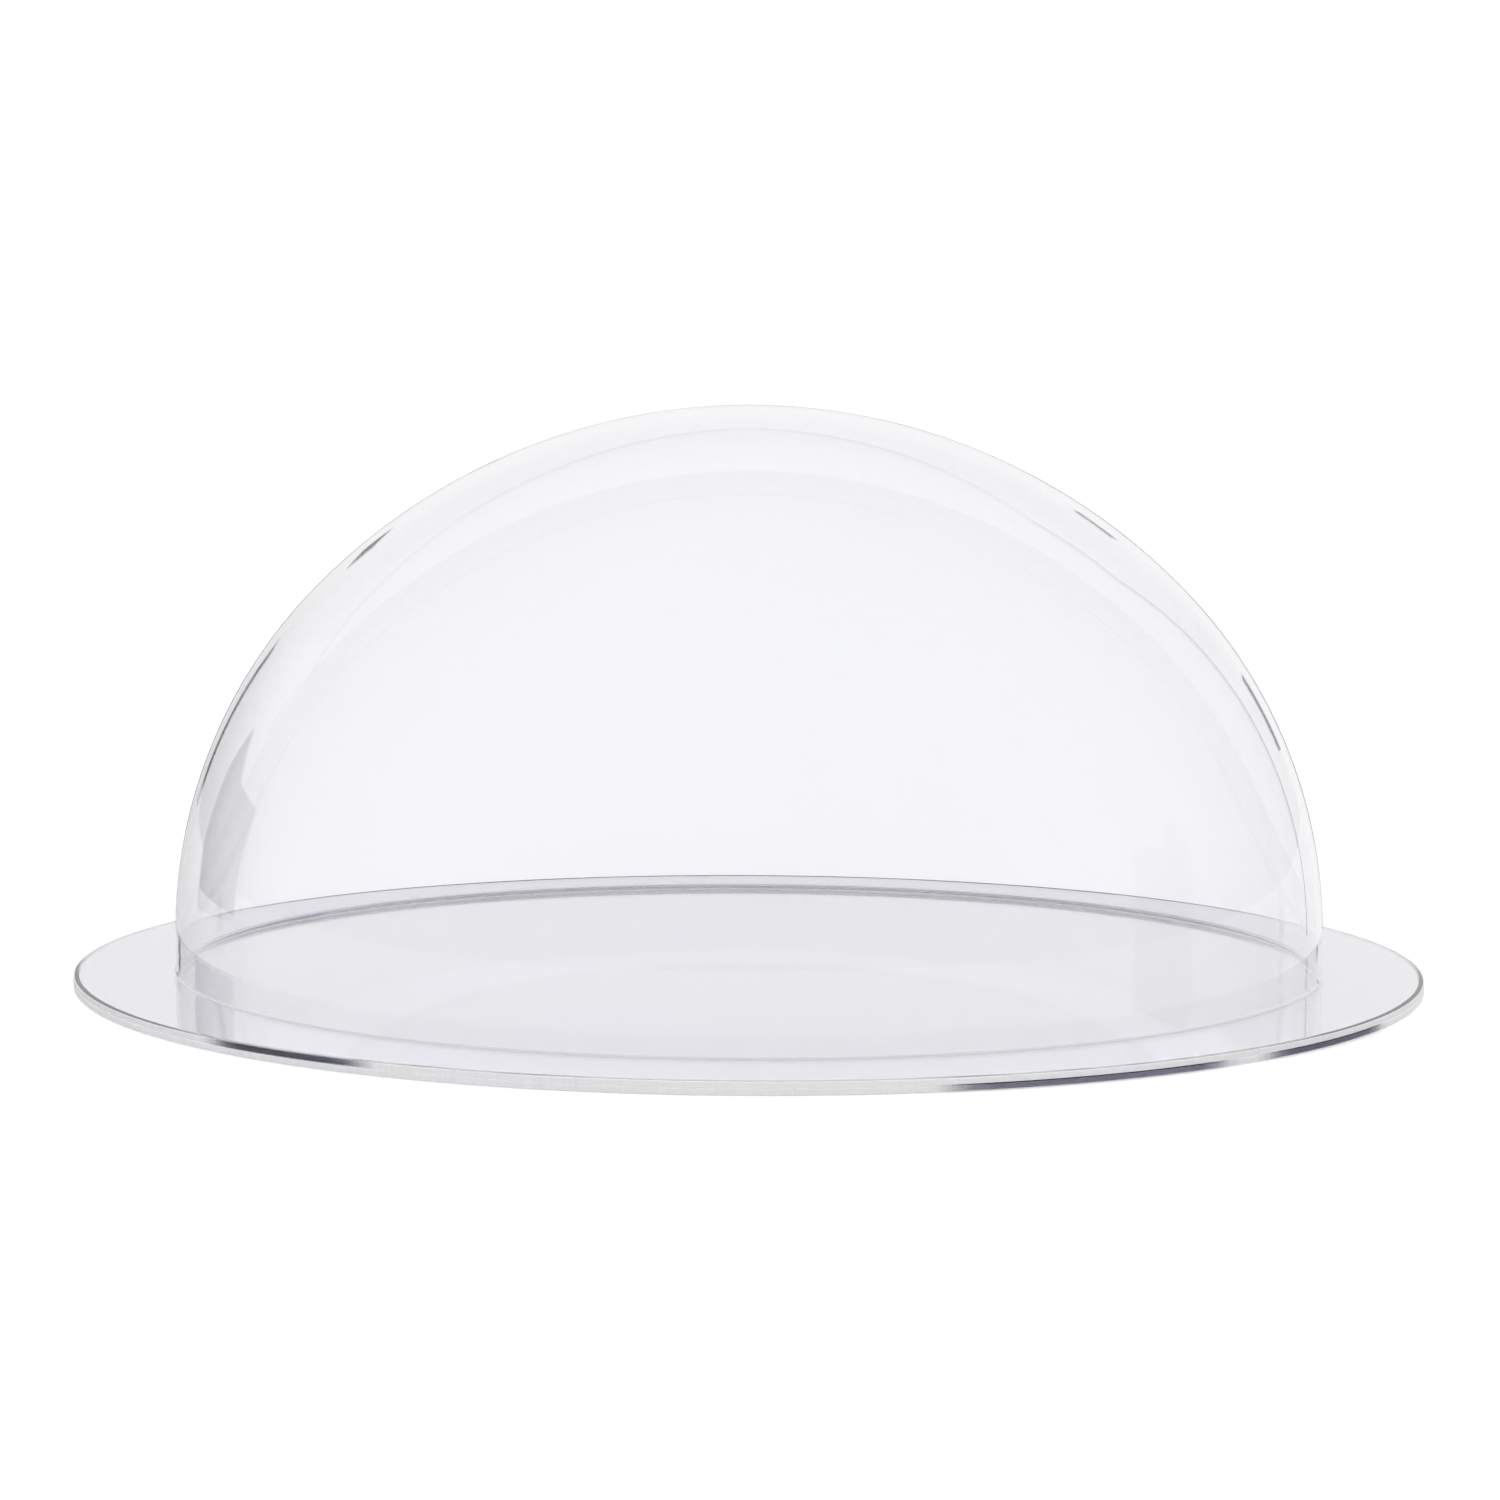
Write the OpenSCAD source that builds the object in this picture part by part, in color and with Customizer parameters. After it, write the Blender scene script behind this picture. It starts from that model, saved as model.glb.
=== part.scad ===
// Humidity dome on its tray: a clear round dome, blown in one piece with the flat flange
// around its mouth, which rests face to face on a clear round tray plate of the same
// diameter and lifts straight off it. Millimetres, +Z up, origin at the middle of the
// tray's underside.

/* [Sheet] */
// Thickness of the clear sheet that the dome and its flange are formed from
sheet_t = 1.6; // [1:0.1:3]
// Thickness of the tray plate
tray_t = 1.6; // [1:0.1:4]

/* [Rim] */
// Width of the flat flange outside the dome's wall
flange_w = 29; // [15:1:60]
// Inside radius of the bend on the outside, where the wall turns out into the flange
bend_r = 0.6; // [0.4:0.2:8]

/* [Dome] */
// Outer diameter of the dome at its straight foot
dome_d = 342; // [240:2:560]
// Height of the crown over the top of the flange
dome_h = 166; // [110:1:180]
// Height of the straight foot of the wall, which the bend is part of
foot_h = 10; // [8:1:20]
// Radius of the shoulder as a share of the height of the dome over its foot
shoulder_share = 0.93; // [0.7:0.01:0.98]

/* [Hidden] */
$fn = 240;

dome_r = dome_d / 2;
rim_r = dome_r + flange_w;

// Heights in the assembled state
flange_z = tray_t;                     // underside of the flange, on the tray
flange_top = flange_z + sheet_t;
shoulder_z = flange_top + foot_h;      // where the straight foot ends and the shoulder starts

// The outline above the foot is two round arcs that meet smoothly: a shoulder, and a crown
// of larger radius whose centre is on the axis. It is at most as tall as a half ball.
rise = min(dome_h - foot_h, dome_r);
shoulder_r = shoulder_share * rise;
shoulder_x = dome_r - shoulder_r;
crown_r = (shoulder_x * shoulder_x + rise * rise - shoulder_r * shoulder_r)
          / (2 * (rise - shoulder_r));
crown_z = shoulder_z + rise - crown_r;
// The two arcs meet on the line through both centres, this far round from the axis
meet_angle = atan2(shoulder_x, shoulder_z - crown_z);
beyond = 2 * crown_r;                  // a length that reaches outside the crown

// Half of the dome's filled section, from its mouth up, drawn in by inset
module filled_section(inset) {
    // Straight foot
    translate([0, flange_z]) square([dome_r - inset, shoulder_z - flange_z]);
    // Shoulder
    intersection() {
        translate([shoulder_x, shoulder_z]) circle(shoulder_r - inset);
        translate([0, shoulder_z]) square([dome_r, rise]);
    }
    // Crown
    intersection() {
        translate([0, crown_z]) circle(crown_r - inset);
        translate([0, crown_z])
            polygon([[0, 0], beyond * [sin(meet_angle), cos(meet_angle)], [0, beyond]]);
        translate([0, shoulder_z]) square([dome_r, rise]);
    }
}

// A square corner less a round one: it fills a bend when added and rounds an edge when
// taken away. The corner is at the origin and the round one's centre at [size, size].
module bend_fill(size) {
    difference() {
        square(size);
        translate([size, size]) circle(size);
    }
}

module dome_section() {
    difference() {
        union() {
            filled_section(0);
            translate([0, flange_z]) square([rim_r, sheet_t]);
            translate([dome_r, flange_top]) bend_fill(bend_r);
        }
        filled_section(sheet_t);
        translate([dome_r - sheet_t, flange_z]) bend_fill(bend_r + sheet_t);
    }
}

// Dome and flange, one formed sheet
module dome() {
    color([0.93, 0.93, 0.97, 0.35]) rotate_extrude() dome_section();
}

// Flat plate under the flange and across the dome's mouth
module tray() {
    color([0.88, 0.89, 0.93, 0.5]) cylinder(h = tray_t, r = rim_r);
}

dome();
tray();
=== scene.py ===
import math

import bmesh
import bpy
from mathutils import Matrix, Vector


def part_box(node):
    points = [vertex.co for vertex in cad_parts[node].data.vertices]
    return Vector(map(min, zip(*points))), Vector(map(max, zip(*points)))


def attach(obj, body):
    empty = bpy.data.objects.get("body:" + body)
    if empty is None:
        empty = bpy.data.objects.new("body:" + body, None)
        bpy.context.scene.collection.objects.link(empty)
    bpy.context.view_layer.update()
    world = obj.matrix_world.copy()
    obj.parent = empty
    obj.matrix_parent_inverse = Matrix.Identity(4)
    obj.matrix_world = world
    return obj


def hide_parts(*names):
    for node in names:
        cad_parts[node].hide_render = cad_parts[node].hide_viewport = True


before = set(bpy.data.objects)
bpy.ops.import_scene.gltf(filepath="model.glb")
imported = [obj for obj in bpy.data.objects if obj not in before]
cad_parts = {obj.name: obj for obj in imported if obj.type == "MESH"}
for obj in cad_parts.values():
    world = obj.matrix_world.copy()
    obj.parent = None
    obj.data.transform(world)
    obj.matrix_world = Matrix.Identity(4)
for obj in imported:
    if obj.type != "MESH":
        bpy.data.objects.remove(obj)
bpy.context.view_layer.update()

# ---------------------------------------------------------------- sizes, in metres

DOME_LOW, DOME_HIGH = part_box("dome")
TRAY_LOW, TRAY_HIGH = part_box("tray")

SHEET = 0.0016            # the sheet that dome and flange are formed from
FLANGE_WIDTH = 0.029      # flat flange outside the dome's wall
BEND_OUTSIDE = 0.0006     # radius of the corner between wall and flange, outside
BEND_INSIDE = 0.0022      # and on the side of the space under the dome
FOOT = 0.010              # straight foot of the wall, above the flange
SHOULDER_SHARE = 0.93     # shoulder radius over the dome's height above its foot
EDGE = 0.00028            # softened edges of the cut sheet
SKIN = 0.00002            # air between the two sheets, so that their faces stay apart

RIM = min(TRAY_HIGH.x - TRAY_LOW.x, TRAY_HIGH.y - TRAY_LOW.y) / 2
WALL = RIM - FLANGE_WIDTH
FLANGE_Z = DOME_LOW.z
FLANGE_TOP = FLANGE_Z + SHEET
CROWN = DOME_HIGH.z

# Faint waves in the wall over its foot
RIPPLE = 0.00009
RIPPLE_LENGTH = 0.0046
RIPPLE_REACH = 0.034

# The cut edges are satin, with some polished stretches whose colour is also painted dark, a painted
# shade: (middle, half width) in degrees
DOME_POLISH_AND_PAINTED_DARK = [(-35, 5), (96, 9), (-120, 7)]
TRAY_POLISH_AND_PAINTED_DARK = [(25, 9), (49, 6), (-96, 6), (150, 9), (-155, 6)]
POLISH_AND_PAINTED_DARK_FADE = 3

# Around the axis, and the longest step along an outline
SEGMENTS = 256
STEP = 0.0022


# ---------------------------------------------------------------- outlines, as (radius, height)

def arc(centre, radius, start, end, steps):
    """Points on a round arc; angles in degrees, 0 outward and 90 up."""
    points = []
    for i in range(steps + 1):
        a = math.radians(start + (end - start) * i / steps)
        points.append((centre[0] + radius * math.cos(a), centre[1] + radius * math.sin(a)))
    return points


def steps_for(radius, degrees):
    return max(6, math.ceil(radius * math.radians(abs(degrees)) / STEP))


def divided(a, b):
    """Points from a to b, both included, no further apart than STEP."""
    count = max(1, math.ceil(math.dist(a, b) / STEP))
    across, up = b[0] - a[0], b[1] - a[1]
    return [(a[0] + across * i / count, a[1] + up * i / count) for i in range(count + 1)]


def joined(*runs):
    """One outline from several runs, without the points that repeat."""
    points = []
    for run in runs:
        for p in run:
            if not points or math.dist(points[-1], p) > 1e-6:
                points.append(p)
    return points


def dome_arcs(inset):
    """Shoulder and crown of the dome, from the axis down to the foot, drawn in by inset."""
    rise = CROWN - FLANGE_TOP - FOOT
    shoulder = SHOULDER_SHARE * rise
    shoulder_at = (WALL - shoulder, FLANGE_TOP + FOOT)
    crown = (shoulder_at[0] ** 2 + rise ** 2 - shoulder ** 2) / (2 * (rise - shoulder))
    crown_at = (0.0, CROWN - crown)
    meet = math.degrees(math.atan2(shoulder_at[1] - crown_at[1], shoulder_at[0]))
    over = arc(crown_at, crown - inset, 90, meet, steps_for(crown, 90 - meet))
    side = arc(shoulder_at, shoulder - inset, meet, 0, steps_for(shoulder, meet))
    return joined(over, side)


def dome_outline():
    """From the outside of the crown, over the flange's edge and back up inside to the crown."""
    outside = dome_arcs(0.0)
    outer_bend = arc((WALL + BEND_OUTSIDE, FLANGE_TOP + BEND_OUTSIDE), BEND_OUTSIDE, 180, 270, 10)
    edge = joined(
        arc((RIM - EDGE, FLANGE_TOP - EDGE), EDGE, 90, 0, 4),
        arc((RIM - EDGE, FLANGE_Z + SKIN + EDGE), EDGE, 0, -90, 4),
    )
    under = (WALL - SHEET + BEND_INSIDE, FLANGE_Z + SKIN + BEND_INSIDE)
    inner_bend = arc(under, BEND_INSIDE, 270, 180, 16)
    inside = dome_arcs(SHEET)[::-1]
    return joined(
        outside,
        divided(outside[-1], outer_bend[0]),
        outer_bend,
        divided(outer_bend[-1], edge[0]),
        edge,
        divided(edge[-1], inner_bend[0]),
        inner_bend,
        divided(inner_bend[-1], inside[0]),
        inside,
    )


def tray_outline():
    """From the middle of the top, over the edge and back to the middle of the underside."""
    top, low = TRAY_HIGH.z, TRAY_LOW.z
    edge = joined(
        arc((RIM - EDGE, top - EDGE), EDGE, 90, 0, 4),
        arc((RIM - EDGE, low + EDGE), EDGE, 0, -90, 4),
    )
    return joined(divided((0.0, top), edge[0]), edge, divided(edge[-1], (0.0, low)))


def neck_ripple(radius, height, azimuth):
    """How far the wall stands out just over its foot, where the blown sheet has drawn in waves."""
    low = (height - FLANGE_TOP) / RIPPLE_REACH
    if low <= 0 or low >= 1 or radius > WALL:
        return 0.0
    swell = math.sin(math.pi * low) * (1 - low)
    along = 0.6 + 0.4 * math.sin(3 * azimuth + 0.8) * math.sin(7 * azimuth)
    waves = math.sin(2 * math.pi * height / RIPPLE_LENGTH + 1.3 * math.sin(5 * azimuth))
    return RIPPLE * swell * along * waves


def lathe(name, outline, ripple=None):
    """A closed solid turned from an outline that starts and ends on the axis."""
    mesh = bmesh.new()
    rings = []
    for radius, height in outline:
        if radius < 1e-6:
            rings.append([mesh.verts.new((0, 0, height))])
            continue
        ring = []
        for i in range(SEGMENTS):
            a = 2 * math.pi * i / SEGMENTS
            r = radius + (ripple(radius, height, a) if ripple else 0)
            ring.append(mesh.verts.new((r * math.cos(a), r * math.sin(a), height)))
        rings.append(ring)
    for upper, lower in zip(rings, rings[1:]):
        for i in range(SEGMENTS):
            j = (i + 1) % SEGMENTS
            if len(upper) == 1:
                mesh.faces.new((upper[0], lower[i], lower[j]))
            elif len(lower) == 1:
                mesh.faces.new((upper[j], upper[i], lower[0]))
            else:
                mesh.faces.new((upper[i], lower[i], lower[j], upper[j]))
    for face in mesh.faces:
        face.smooth = True
        nearest = min(math.hypot(v.co.x, v.co.y) for v in face.verts)
        face.material_index = 1 if nearest > RIM - EDGE * 1.01 else 0
    data = bpy.data.meshes.new(name)
    mesh.to_mesh(data)
    mesh.free()
    piece = bpy.data.objects.new(name, data)
    bpy.context.scene.collection.objects.link(piece)
    return piece


def mark_polish_and_painted_dark(piece, stretches):
    """Stretches of the cut edge that are polished and painted dark, a painted shade, as (middle,
    half width) in degrees.
    0 is the front and positive angles go to the right."""
    polish_and_painted_dark = piece.data.attributes.new("polish_and_painted_dark", "FLOAT", "POINT")
    for vertex, value in zip(piece.data.vertices, polish_and_painted_dark.data):
        azimuth = math.degrees(math.atan2(vertex.co.x, -vertex.co.y))
        for middle, half in stretches:
            off = abs((azimuth - middle + 180) % 360 - 180)
            value.value = max(value.value, 1 - min(1, max(0, off - half) / POLISH_AND_PAINTED_DARK_FADE))


# ---------------------------------------------------------------- materials

ACRYLIC_IOR = 1.49
TINT = (0.975, 0.972, 0.995)
TINT_COOL = (0.968, 0.970, 0.988)
EDGE_LOW = (0.90, 0.91, 0.93)
EDGE_HIGH = (0.97, 0.97, 0.99)
# painted shade: the colour of the polished stretches of the cut edge is painted dark
EDGE_POLISHED_PAINTED_DARK = (0.10, 0.10, 0.17)
EDGE_CLEARNESS = (0.2, 1.0)       # transmission where the edge is satin, and where polished
EDGE_ROUGHNESS = (0.38, 0.04)
EDGE_MARK_DEPTH = 0.00004
SHADOW = (0.998, 0.998, 1.0)
WAVE_HEIGHT = 0.000012
WIPED_ROUGHNESS = 0.035


def nodes_of(name):
    material = bpy.data.materials.new(name)
    material.use_nodes = True
    material.node_tree.nodes.clear()
    return material, material.node_tree.nodes, material.node_tree.links


def ramp(nodes, links, value, stops):
    """A colour ramp with (position, colour) stops."""
    node = nodes.new("ShaderNodeValToRGB")
    elements = node.color_ramp.elements
    while len(elements) < len(stops):
        elements.new(0.5)
    for element, (position, colour) in zip(elements, stops):
        element.position = position
        element.color = (*colour, 1)
    links.new(value, node.inputs["Fac"])
    return node.outputs["Color"]


def noise(nodes, links, place, scale, detail=3, stretch=(1, 1, 1)):
    mapping = nodes.new("ShaderNodeMapping")
    mapping.inputs["Scale"].default_value = stretch
    links.new(place, mapping.inputs["Vector"])
    texture = nodes.new("ShaderNodeTexNoise")
    texture.inputs["Scale"].default_value = scale
    texture.inputs["Detail"].default_value = detail
    links.new(mapping.outputs[0], texture.inputs["Vector"])
    return texture.outputs["Fac"]


def mapped(nodes, links, value, source, target):
    node = nodes.new("ShaderNodeMapRange")
    for socket, number in zip(("From Min", "From Max", "To Min", "To Max"), source + target):
        node.inputs[socket].default_value = number
    links.new(value, node.inputs["Value"])
    return node.outputs["Result"]


def lets_lamps_through(nodes, links, surface, shadow):
    """The finished shader, with rays from lamps passing it so that what lies under it is lit."""
    through = nodes.new("ShaderNodeBsdfTransparent")
    through.inputs["Color"].default_value = (*shadow, 1)
    path = nodes.new("ShaderNodeLightPath")
    mix = nodes.new("ShaderNodeMixShader")
    out = nodes.new("ShaderNodeOutputMaterial")
    links.new(path.outputs["Is Shadow Ray"], mix.inputs[0])
    links.new(surface.outputs[0], mix.inputs[1])
    links.new(through.outputs[0], mix.inputs[2])
    links.new(mix.outputs[0], out.inputs["Surface"])


def clear_sheet(name):
    """Clear polished acrylic: a faint cool tint, slow waves from forming, and wiping marks that
    show only as a breath of roughness."""
    material, nodes, links = nodes_of(name)
    glass = nodes.new("ShaderNodeBsdfPrincipled")
    glass.inputs["Transmission Weight"].default_value = 1.0
    glass.inputs["IOR"].default_value = ACRYLIC_IOR
    place = nodes.new("ShaderNodeTexCoord").outputs["Object"]

    clouds = noise(nodes, links, place, 9)
    tint = ramp(nodes, links, clouds, [(0.35, TINT), (0.65, TINT_COOL)])
    links.new(tint, glass.inputs["Base Color"])

    wiping = noise(nodes, links, place, 55, 6, (1, 0.25, 2.2))
    wiped = mapped(nodes, links, wiping, (0.55, 0.8), (0.0, WIPED_ROUGHNESS))
    links.new(wiped, glass.inputs["Roughness"])

    bump = nodes.new("ShaderNodeBump")
    bump.inputs["Strength"].default_value = 1.0
    bump.inputs["Distance"].default_value = WAVE_HEIGHT
    links.new(noise(nodes, links, place, 22, 1, (1, 1, 0.6)), bump.inputs["Height"])
    links.new(bump.outputs[0], glass.inputs["Normal"])
    lets_lamps_through(nodes, links, glass, SHADOW)
    return material


def cut_edge(name):
    """The sheet's cut edge: satin from the cutter, with fine marks across it, and smooth and clear
    in the stretches marked as polished, where its colour is also painted dark, a painted shade."""
    material, nodes, links = nodes_of(name)
    edge = nodes.new("ShaderNodeBsdfPrincipled")
    edge.inputs["IOR"].default_value = ACRYLIC_IOR
    place = nodes.new("ShaderNodeTexCoord").outputs["Object"]
    polish_and_painted_dark = nodes.new("ShaderNodeAttribute")
    polish_and_painted_dark.attribute_name = "polish_and_painted_dark"
    polish_and_dark_amount = polish_and_painted_dark.outputs["Fac"]

    marks = noise(nodes, links, place, 900, 2, (1, 1, 0.05))
    satin = ramp(nodes, links, marks, [(0.3, EDGE_LOW), (0.7, EDGE_HIGH)])
    mix = nodes.new("ShaderNodeMix")
    mix.data_type = "RGBA"
    links.new(polish_and_dark_amount, mix.inputs["Factor"])
    links.new(satin, mix.inputs[6])
    # the polished stretches get a dark colour, a painted shade
    mix.inputs[7].default_value = (*EDGE_POLISHED_PAINTED_DARK, 1)
    links.new(mix.outputs[2], edge.inputs["Base Color"])
    clearness = mapped(nodes, links, polish_and_dark_amount, (0, 1), EDGE_CLEARNESS)
    links.new(clearness, edge.inputs["Transmission Weight"])
    links.new(mapped(nodes, links, polish_and_dark_amount, (0, 1), EDGE_ROUGHNESS), edge.inputs["Roughness"])
    bump = nodes.new("ShaderNodeBump")
    bump.inputs["Strength"].default_value = 0.4
    bump.inputs["Distance"].default_value = EDGE_MARK_DEPTH
    links.new(marks, bump.inputs["Height"])
    links.new(bump.outputs[0], edge.inputs["Normal"])
    lets_lamps_through(nodes, links, edge, SHADOW)
    return material


def matt(name, colour):
    material, nodes, links = nodes_of(name)
    out = nodes.new("ShaderNodeOutputMaterial")
    surface = nodes.new("ShaderNodeBsdfPrincipled")
    surface.inputs["Base Color"].default_value = (*colour, 1)
    surface.inputs["Roughness"].default_value = 0.9
    surface.inputs["Specular IOR Level"].default_value = 0.0
    links.new(surface.outputs[0], out.inputs["Surface"])
    return material


# ---------------------------------------------------------------- the object

def make_object():
    edge = cut_edge("cut_edge")

    dome = lathe("clear_dome", dome_outline(), neck_ripple)
    dome.data.materials.append(clear_sheet("clear_dome_sheet"))
    dome.data.materials.append(edge)
    mark_polish_and_painted_dark(dome, DOME_POLISH_AND_PAINTED_DARK)
    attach(dome, "dome")
    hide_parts("dome")

    tray = lathe("clear_tray", tray_outline())
    tray.data.materials.append(clear_sheet("clear_tray_sheet"))
    tray.data.materials.append(edge)
    mark_polish_and_painted_dark(tray, TRAY_POLISH_AND_PAINTED_DARK)
    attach(tray, "tray")
    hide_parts("tray")


# ---------------------------------------------------------------- camera

VIEW_ELEVATION = math.radians(8.56)
VIEW_DISTANCE = 4.274 * RIM          # from the camera to the middle of the flange's top
AIM_ABOVE = math.radians(4.17)       # the view is centred this far above the flange
ROLL = math.radians(0.29)
FIELD = math.radians(30)


def make_camera():
    data = bpy.data.cameras.new("camera")
    camera = bpy.data.objects.new("camera", data)
    bpy.context.scene.collection.objects.link(camera)
    data.sensor_width = 36
    data.lens = data.sensor_width / 2 / math.tan(FIELD / 2)
    back = Vector((0, -math.cos(VIEW_ELEVATION), math.sin(VIEW_ELEVATION)))
    camera.location = Vector((0, 0, FLANGE_TOP)) + back * VIEW_DISTANCE
    down = VIEW_ELEVATION - AIM_ABOVE
    forward = Vector((0, math.cos(down), -math.sin(down)))
    camera.rotation_mode = "QUATERNION"
    facing = forward.to_track_quat("-Z", "Y")
    camera.rotation_quaternion = facing @ Matrix.Rotation(ROLL, 3, "Z").to_quaternion()
    bpy.context.scene.camera = camera
    return camera


# ---------------------------------------------------------------- floor, backdrop and light

# The studio is a ball of soft light round the object, with a white backdrop and a few dark
# cards in front of it. It turns with the camera, as if the object stood on a turntable.
# Directions in it are (azimuth, elevation) in degrees: azimuth 0 away from the camera and
# positive to its right, elevation above the line of sight.
TENT_RADIUS = 6.4
BACKDROP_RADIUS = 6.0
BACKDROP_SIDE = 45       # degrees from its middle
CARD_RADIUS = 5.6
NEAR_CARD_RADIUS = 0.65
SCREEN_STEP = 3          # degrees between the points of the tent and the backdrop
WHITE = 1.05             # of the backdrop, and of the floor in full light
TENT_FRONT = 0.39        # brightness of the tent behind the camera
TENT_BACK = 0.86         # and behind the object
FLOOR_ALBEDO = 0.92
FLOOR_SIDE = 14.0        # from its middle
FLOOR_BELOW = 0.0002     # the tray's underside
AMBIENT = 0.30
LAMP_SPREAD = math.radians(100)
NIGHT = (0.012, 0.010, 0.022)
FAINT = (0.45, 0.44, 0.50)


def smooth(low, high, value):
    t = min(1, max(0, (value - low) / (high - low)))
    return t * t * (3 - 2 * t)


def direction(azimuth, elevation):
    a, e = math.radians(azimuth), math.radians(elevation)
    return Vector((math.sin(a) * math.cos(e), math.sin(e), -math.cos(a) * math.cos(e)))


def tent_tone(azimuth, elevation):
    """Brightness of the tent: dimmer towards the camera, and in a shade low on the left."""
    off_axis = direction(azimuth, elevation).angle(direction(0, 0))
    tone = TENT_FRONT + (TENT_BACK - TENT_FRONT) * ((1 + math.cos(off_axis)) / 2) ** 1.2
    shade = smooth(-12, -26, azimuth) * smooth(-80, -55, azimuth) * smooth(24, 4, elevation)
    return tone * (1 - 0.45 * shade)


def backdrop_tone(azimuth, elevation):
    """White where the camera sees it, and fading into the tent round that."""
    off_centre = math.degrees(direction(azimuth, elevation).angle(direction(0, 4)))
    fade = smooth(22, 36, off_centre)
    return WHITE + (tent_tone(azimuth, elevation) - WHITE) * fade


def glowing(name, colour):
    """Light of one colour, or of the mesh's own tone where colour is None."""
    material, nodes, links = nodes_of(name)
    out = nodes.new("ShaderNodeOutputMaterial")
    light = nodes.new("ShaderNodeEmission")
    if colour is None:
        tone = nodes.new("ShaderNodeAttribute")
        tone.attribute_name = "tone"
        links.new(tone.outputs["Color"], light.inputs["Color"])
    else:
        light.inputs["Color"].default_value = (*colour, 1)
    links.new(light.outputs[0], out.inputs["Surface"])
    return material


def stage_piece(name, mesh, material, camera):
    mesh.materials.append(material)
    piece = bpy.data.objects.new(name, mesh)
    bpy.context.scene.collection.objects.link(piece)
    piece.parent = camera
    piece.location.z = -VIEW_DISTANCE
    piece.visible_shadow = False
    piece.visible_diffuse = False
    return piece


def screen(name, camera, radius, azimuths, elevations, tone):
    """A part of a ball that glows with the brightness tone(azimuth, elevation)."""
    across = round((azimuths[1] - azimuths[0]) / SCREEN_STEP)
    up = round((elevations[1] - elevations[0]) / SCREEN_STEP)
    spots = [
        (azimuths[0] + i * SCREEN_STEP, elevations[0] + j * SCREEN_STEP)
        for j in range(up + 1)
        for i in range(across + 1)
    ]
    faces = []
    for j in range(up):
        for i in range(across):
            k = j * (across + 1) + i
            faces.append((k, k + 1, k + across + 2, k + across + 1))
    mesh = bpy.data.meshes.new(name)
    mesh.from_pydata([direction(*spot) * radius for spot in spots], [], faces)
    tones = mesh.color_attributes.new("tone", "FLOAT_COLOR", "POINT")
    for spot, value in zip(spots, tones.data):
        value.color = (tone(*spot),) * 3 + (1,)
    return stage_piece(name, mesh, glowing(name, None), camera)


def card(name, camera, corners, radius=CARD_RADIUS, colour=NIGHT):
    """A dark card with these corners. The camera sees it only by way of the clear object."""
    spots = [direction(*corner) * radius for corner in corners]
    mesh = bpy.data.meshes.new(name)
    mesh.from_pydata(spots, [], [range(len(corners))])
    piece = stage_piece(name, mesh, glowing(name, colour), camera)
    piece.visible_camera = False
    return piece


def strip(name, camera, route, width, colour=NIGHT):
    """A narrow dark strip along a route, its width in degrees like the route."""
    points = [Vector(p) for p in route]
    left, right = [], []
    for i, p in enumerate(points):
        before, after = points[max(0, i - 1)], points[min(len(points) - 1, i + 1)]
        side = (after - before).normalized().orthogonal() * width / 2
        left.append(tuple(p + side))
        right.append(tuple(p - side))
    for i in range(len(points) - 1):
        corners = [left[i], left[i + 1], right[i + 1], right[i]]
        card(f"{name}_{i + 1}", camera, corners, colour=colour)


def make_floor():
    side = FLOOR_SIDE
    corners = [(-side, -side, 0), (side, -side, 0), (side, side, 0), (-side, side, 0)]
    mesh = bpy.data.meshes.new("floor")
    mesh.from_pydata(corners, [], [(0, 1, 2, 3)])
    mesh.materials.append(matt("floor_white", (FLOOR_ALBEDO,) * 3))
    floor = bpy.data.objects.new("floor", mesh)
    floor.location.z = -FLOOR_BELOW
    floor.visible_glossy = False
    bpy.context.scene.collection.objects.link(floor)


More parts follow.
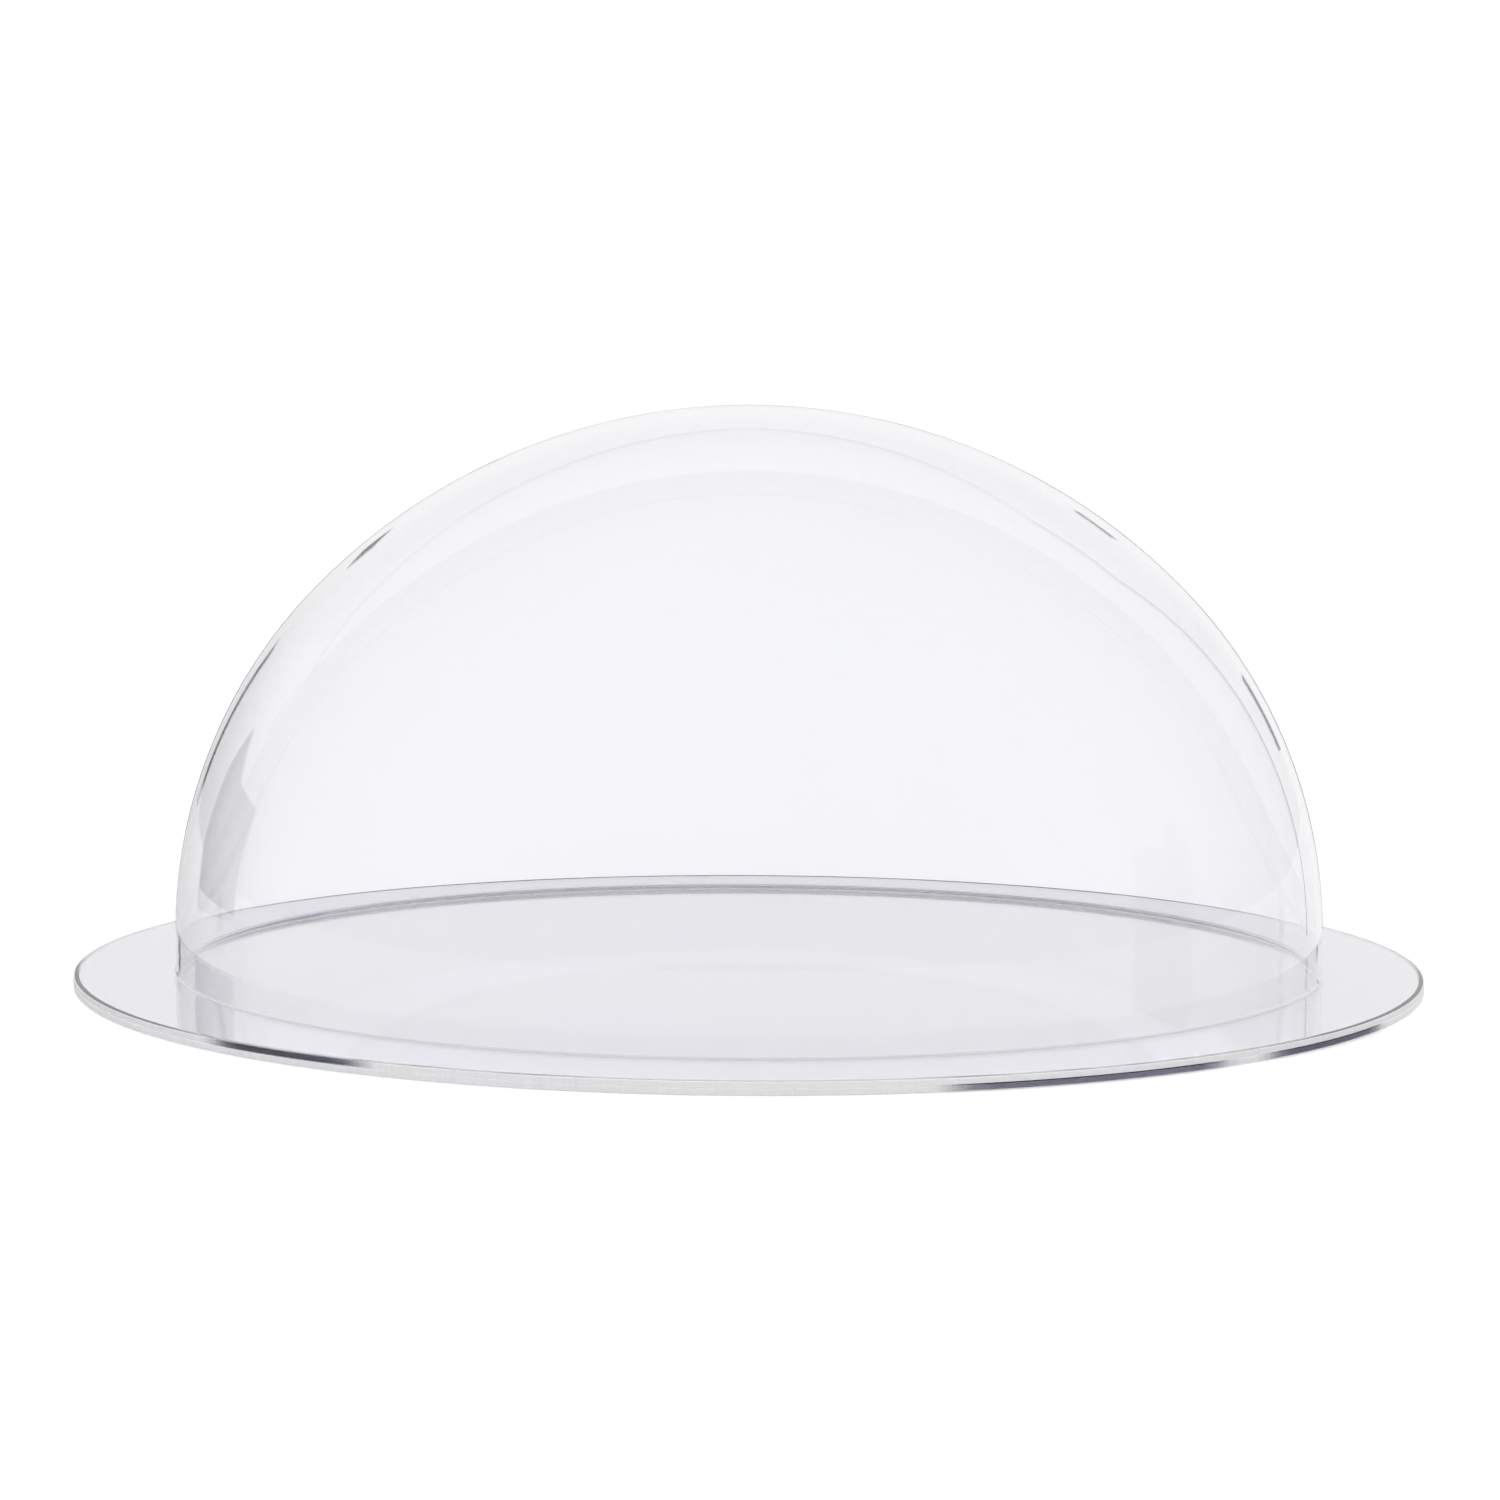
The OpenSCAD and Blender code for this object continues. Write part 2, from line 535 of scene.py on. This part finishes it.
def make_light():
    world = bpy.data.worlds.new("studio")
    world.use_nodes = True
    background = world.node_tree.nodes["Background"]
    background.inputs["Color"].default_value = (1, 1, 1, 1)
    background.inputs["Strength"].default_value = AMBIENT
    bpy.context.scene.world = world

    data = bpy.data.lights.new("overhead", "SUN")
    data.energy = (WHITE / FLOOR_ALBEDO - AMBIENT) * math.pi
    data.angle = LAMP_SPREAD
    lamp = bpy.data.objects.new("overhead", data)
    lamp.visible_glossy = False
    lamp.visible_transmission = False
    bpy.context.scene.collection.objects.link(lamp)


def make_outline_card(camera):
    """A dark oval straight behind the object. The dome mirrors it where it is seen almost edge-on,
    which draws its thin grey outline."""
    corners = []
    for i in range(32):
        a = 2 * math.pi * i / 32
        corners.append((17.5 * math.cos(a), 10.5 * math.sin(a)))
    outline = card("dark_behind", camera, corners)
    outline.visible_transmission = False


def make_stage(camera):
    make_floor()
    make_light()
    tent = screen("tent", camera, TENT_RADIUS, (-180, 180), (-90, 90), tent_tone)
    tent.visible_camera = False
    sides = (-BACKDROP_SIDE, BACKDROP_SIDE)
    backdrop = screen("backdrop", camera, BACKDROP_RADIUS, sides, sides, backdrop_tone)
    backdrop.visible_glossy = False
    make_outline_card(camera)

    # the grey patch low on the left of the dome
    left = [(-57, -5), (-55, 1), (-56, 9), (-59, 15), (-65, 10), (-76, 9), (-75, -5)]
    card("dark_left", camera, left, NEAR_CARD_RADIUS)

    # a frame round the backdrop, for the lines along the dome's inner band
    frame_left = [(33, 39.8), (0, 39.6), (-20, 40.6), (-39, 35), (-54, 26), (-53, 18)]
    strip("frame", camera, frame_left, 0.8, FAINT)
    strip("frame_right", camera, [(39.5, -4), (39.5, 10), (39.5, 33), (33, 39.8)], 0.8)

    # the short streaks near the dome's outline
    strip("low_left", camera, [(-26, 12.5), (-26.8, 2.5)], 3)
    strip("high_left", camera, [(-22.6, 18.8), (-18.6, 16.8)], 2)
    strip("high_right", camera, [(18.8, 21.1), (21.2, 19.9)], 2)
    strip("low_right", camera, [(27.8, 11.2), (29.4, 6.6)], 3)


def let_light_travel():
    """Light goes to and fro many times inside a sheet seen edge-on, which is black without this."""
    cycles = bpy.context.scene.cycles
    cycles.max_bounces = 128
    cycles.transmission_bounces = 128
    cycles.glossy_bounces = 64
    cycles.transparent_max_bounces = 24


make_object()
camera = make_camera()
make_stage(camera)
let_light_travel()
bpy.context.scene.view_settings.view_transform = "Standard"
